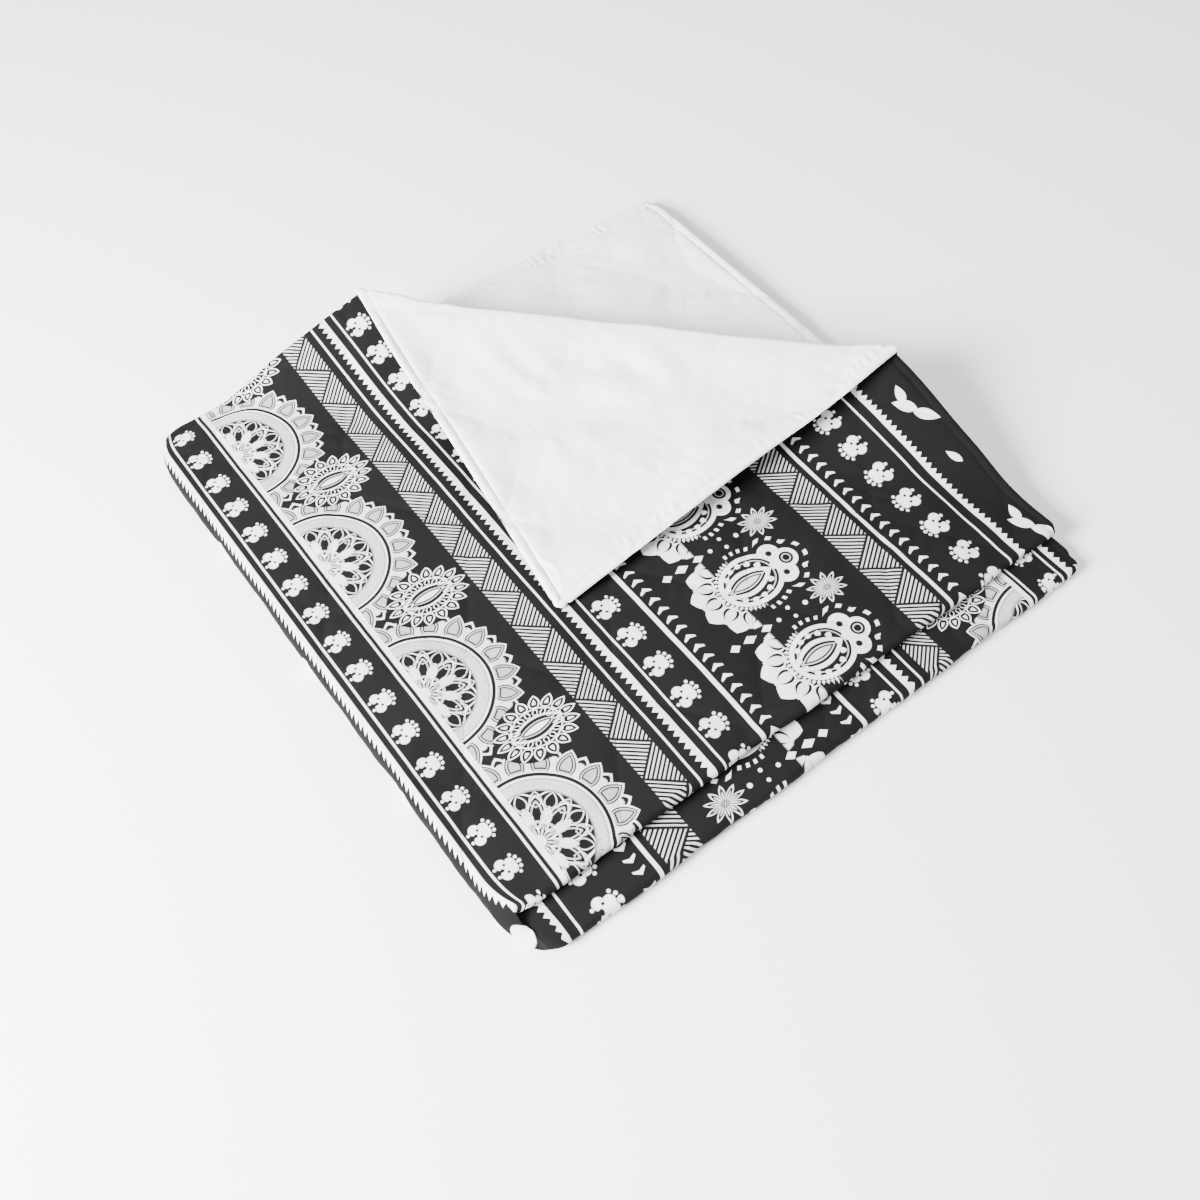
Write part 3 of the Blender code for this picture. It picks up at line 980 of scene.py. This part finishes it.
def flat_from_rise(distance, across):
    """The flat place at a distance past the line where the corner rises and a distance along it."""
    return (rise_flat[0] + across * along[0] + distance * away[0],
            rise_flat[1] + across * along[1] + distance * away[1])


def corner_grid(distances, columns):
    """Flat places in rows at those distances from where the strip rises, from hem to hem."""
    left, right = corner_edges(distances)
    share = columns[None]
    across = left[:, None] * (1 - share) + right[:, None] * share
    return flat_from_rise(distances[:, None] + 0 * share, across)


strip_columns = np.sort((upper_across[upper_across >= cross_x - 1e-9] - cross_x) / (hem_x - cross_x))
edge_columns = np.array([0.0012, 0.003, 0.0056, 0.009, 0.0136, 0.018, 0.022, 0.026, 0.032])
strip_columns = np.unique(np.round(np.concatenate([strip_columns, edge_columns * 0.8]), 7))
crease_start, crease_end = strip_length, strip_length + crease_arc
spans = {
    "strip_foot": (np.linspace(0, foot, 14), "upper_half", "raised_strip"),
    "raised_strip": (np.linspace(foot, crease_start, 34), "raised_strip", None),
    "crease": (np.linspace(crease_start, crease_end, 15), "raised_strip", "turned_corner"),
    "turned_corner": (crease_end + np.unique(np.concatenate([
        np.linspace(0, tip_centre, 122), np.linspace(tip_centre, tip_end - 0.0002, 12)
    ])), "turned_corner", None),
}
for title, side, material, slot in (
    ("print", 1, face_print, "face_cloth"), ("white", -1, backing, "backing_cloth")
):
    turned = []
    for part, (distances, body, next_body) in spans.items():
        a, b = (values[:, ::-1] for values in corner_grid(distances, strip_columns))
        piece = cloth_piece(f"{part}_{title}", lambda u, v: raised(u, v, side), a, b, side, material, slot)
        nodes = []
        if next_body is None:
            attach(piece, body)
            nodes = ["raised" if body == "raised_strip" else "corner"]
        elif part == "strip_foot":
            ends = (*rise_corner, stack_height), (*(rise_corner + foot * away), stack_height)
        else:
            half_way = rise_flat + 0.5 * (crease_back + crease_side) * along
            ends = [raised(*(half_way + edge * away)[:, None], side)[0]
                    for edge in (crease_start, crease_end)]
            # The bend is taken square to the crease's bow, so that it is the same all along it.
            upright = np.array([*(-math.sin(top_slope) * away), math.cos(top_slope)])
            ends[1] = ends[0] + upright * ((ends[1] - ends[0]) @ upright)
            nodes = ["crease"]
        if next_body:
            bends[piece.name] = ends
            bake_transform(piece)
        for node in nodes:
            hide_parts(f"{node}_{slot}", *([f"{node}_batting"] if side > 0 else []))
        scale = 1 + half_ply / crease_radius if part == "crease" else 1
        spread, across = from_rise(a, b)
        if part == "crease" and side > 0:
            turned.append(piece)
        else:
            carried = turned if part == "turned_corner" else ()
            cut_from(piece, spread * scale, across, ["upper_half_print"], carried)

# ---------------------------------------------------------------------------------------------
# Quilting and top-stitching.
# Polyester thread in lock stitches: two slanting sets of lines through the whole throw, and one
# line round it just inside the hems. It is white on the backing and black on the print.
# ---------------------------------------------------------------------------------------------

stitch_pitch, stitch_length, stitch_width = 0.0042, 0.0031, 0.00055


def quilting_line(falls, phase, under_phase):
    """Middles and directions of the stitches of one slanting set.

    A line is where a sin + b cos, or b cos - a sin for the rising set, is a whole number of
    pitches from its phase, which changes round the front fold, so the place is found in a few
    steps from a straight line.
    """
    sine, cosine = falls * math.sin(quilt_slant), math.cos(quilt_slant)
    places = np.arange(-16, 16) * quilt_pitch, np.arange(-2.2, 2.2, stitch_pitch)
    lines, t = np.meshgrid(*places, indexing="ij")
    b = 0 * t
    for _ in range(14):
        offset = lines + phase + under_share(b) * (under_phase - phase)
        b = offset * cosine - t * sine
    a = t * cosine + offset * sine
    return np.stack([a, b - front_y, 0 * a + cosine, 0 * a - sine], -1).reshape(-1, 4)


def hem_line(a, b):
    """Middles and directions of the stitches along a row of flat places."""
    step_a, step_b = np.gradient(a), np.gradient(b)
    size = np.hypot(step_a, step_b)
    return np.stack([a, b, step_a / size, step_b / size], -1)


run = np.arange(run_end + hem_seam, leg - hem_seam, stitch_pitch)
across = np.arange(across_end + hem_seam, hem_x - hem_seam, stitch_pitch)
quilted = np.concatenate([quilting_line(-1, rising_phase, rising_under),
                          quilting_line(1, falling_phase, falling_under)])
seams = [hem_line(0 * run + across_end + hem_seam, run), hem_line(0 * run + hem_x - hem_seam, run),
         hem_line(across, 0 * across + run_end + hem_seam), hem_line(across, 0 * across + leg - hem_seam)]
distances = np.arange(0.001, crease_end + tip_centre, stitch_pitch * 0.70)
left, right = corner_edges(distances)
over = smooth((distances - crease_end) / 0.03 + 0.5)
left = left + hem_seam / (-along[1] * (1 - over) + over / math.hypot(1, left_splay))
right = right - hem_seam / (along[0] * (1 - over) + over / math.hypot(1, right_splay))
rows = left < right
corner_seams = [hem_line(*flat_from_rise(distances[rows], edge[rows])) for edge in (left, right)]


def stitching(name, stitches, surface, side, material):
    """Stitches as closed spindles of four sides, whose ends dip into the cloth.

    Each ring is a share sqrt(1 - ss) of the thread's width round a middle that follows the
    surface, with its ends below it.
    """
    s = np.array([-1, -0.6, 0, 0.6, 1])
    a = stitches[:, :1] + stitches[:, 2:3] * s * stitch_length / 2
    b = stitches[:, 1:2] + stitches[:, 3:] * s * stitch_length / 2
    middle, normal = surface(a, b), normals_of(surface, a, b, side)
    middle = middle + normal * (stitch_width * (0.34 - 0.6 * s**4))[:, None]
    ahead = np.gradient(middle, axis=1)
    ahead = ahead / np.linalg.norm(ahead, axis=-1, keepdims=True)
    beside = np.cross(normal, ahead)
    turn = np.arange(4) * math.pi / 2
    girth = stitch_width / 2 * np.sqrt(1 - s**2)[1:4, None, None]
    rings = middle[:, 1:4, None] + girth * (
        beside[:, 1:4, None] * np.cos(turn)[:, None] + normal[:, 1:4, None] * np.sin(turn)[:, None]
    )
    points = np.concatenate([middle[:, :1], rings.reshape(len(a), 12, 3), middle[:, 4:]], 1)
    j = np.arange(4)
    k = (j + 1) % 4
    quads = [np.stack([first + j, first + k, first + 4 + k, first + 4 + j], -1) for first in (1, 5)]
    faces = np.concatenate([np.stack([0 * j, 1 + k, 1 + j], -1), np.stack([0 * j + 13, 9 + j, 9 + k], -1)]
                           + [quad[:, corner] for quad in quads for corner in ([0, 1, 2], [0, 2, 3])])
    faces = (faces[None] + 14 * np.arange(len(a))[:, None, None]).reshape(-1, 3)
    mesh = bpy.data.meshes.new(name)
    mesh.from_pydata(points.reshape(-1, 3), [], faces)
    cells = math.ceil(math.sqrt(len(a)))
    corners = loop_points(mesh)
    stitch, spot = corners // 14, corners % 14
    spread = np.stack([stitch % cells + 0.1 + 0.8 * ((spot + 3) // 4) / 4,
                       stitch // cells + 0.15 + 0.7 * ((spot + 3) % 4) / 3], -1) / cells
    add_map(mesh, "OFBake", spread)
    mesh.polygons.foreach_set("use_smooth", np.ones(len(mesh.polygons), bool))
    return placed(name, mesh, material)


def new_thread(name, tone):
    """Spun polyester: its tone varies a little along the thread."""
    made, shader = new_material(name, 0.75)
    shader.inputs["Specular IOR Level"].default_value = 0.1
    fibre = noise(Field.node("ShaderNodeTexCoord", output="Object"), 700.0, 2.0)
    tint(shader, fibre.maths("MULTIPLY_ADD", tone * 0.2, tone * 0.9))
    return made


flat_seams = np.concatenate([quilted] + seams)
clear_of_hem = 0.004  # the quilting stops just inside the hem
inside = throw_hem(*flat_seams.T[:2]) > clear_of_hem
flat_seams = flat_seams[inside & (from_rise(*flat_seams.T[:2])[0] < 0)]
rising_seams = quilted[corner_hem(*from_rise(*quilted.T[:2])) > clear_of_hem]
rising_seams = np.concatenate([rising_seams] + corner_seams)
risen = from_rise(*rising_seams.T[:2])[0]
a, b = flat_seams.T[:2]
flat_groups = {"lower_half": a < ring_end, "upper_half": a > fold_x,
               "outer_wrap": (a > ring_end) & (a < fold_x) & (b > 0)}
for title, side, thread, slot in (("print", 1, new_thread("black_thread", 0.004), "face_cloth"),
                                  ("white", -1, new_thread("white_thread", 0.86), "backing_cloth")):
    for part, chosen in flat_groups.items():
        sewn = stitching(f"{part}_{title}_stitches", flat_seams[chosen],
                         lambda u, v: folded(u, v, side), side, thread)
        if part == "outer_wrap":
            start, end = bends[f"{part}_{title}"]
            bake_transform(sewn)
        else:
            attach(sewn, part)
    for part, (distances, body, next_body) in spans.items():
        sewn = stitching(f"{part}_{title}_stitches",
                         rising_seams[(risen >= distances[0]) & (risen < distances[-1])],
                         lambda u, v: raised(u, v, side), side, thread)
        if next_body:
            start, end = bends[f"{part}_{title}"]
            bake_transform(sewn)
        else:
            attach(sewn, body)

# ---------------------------------------------------------------------------------------------
# Floor, light and camera.
# A pale floor, a strong soft lamp low on the left, a larger and much weaker one high on the
# right, and a bright even surround.
# ---------------------------------------------------------------------------------------------

floor_reach, floor_z = 6, -0.0005
floor_corners = [(x * floor_reach, y * floor_reach, floor_z) for x, y in ((-1, -1), (1, -1), (1, 1), (-1, 1))]
floor_mesh = bpy.data.meshes.new("floor")
floor_mesh.from_pydata(floor_corners, [], [(0, 1, 2, 3)])
floor = bpy.data.objects.new("floor", floor_mesh)
bpy.context.scene.collection.objects.link(floor)
floor_finish, floor_shader = new_material("floor", 0.9)
floor_shader.inputs["Base Color"].default_value = (0.96, 0.96, 0.96, 1)
floor_mesh.materials.append(floor_finish)

surround = bpy.data.worlds.new("surround")
surround.use_nodes = True
surround.node_tree.nodes["Background"].inputs["Color"].default_value = (1, 1, 1, 1)
surround.node_tree.nodes["Background"].inputs["Strength"].default_value = 1.05
bpy.context.scene.world = surround


def lamp(name, place, size, watts):
    """A square area lamp that faces the middle of the throw."""
    light = bpy.data.lights.new(name, "AREA")
    light.size, light.energy = size, watts
    holder = bpy.data.objects.new(name, light)
    bpy.context.scene.collection.objects.link(holder)
    x, y, z = place
    holder.location = place
    holder.rotation_euler = (math.atan2(math.hypot(x, y), z), 0, math.atan2(y, x) + math.pi / 2)


lamp("key", (-2.35, 0.1, 1.3), 1.1, 560)
lamp("fill", (1.4, -1.0, 2.2), 2.0, 30)

lens = bpy.data.cameras.new("camera")
lens.sensor_width, lens.lens = 36, 37.5
camera = bpy.data.objects.new("camera", lens)
bpy.context.scene.collection.objects.link(camera)
camera.location = (-0.5415, -0.7133, 1.125)
downward, round_right = math.radians(55.6), math.radians(37.1)
camera.rotation_euler = (math.pi / 2 - downward, 0, -round_right)
bpy.context.scene.camera = camera
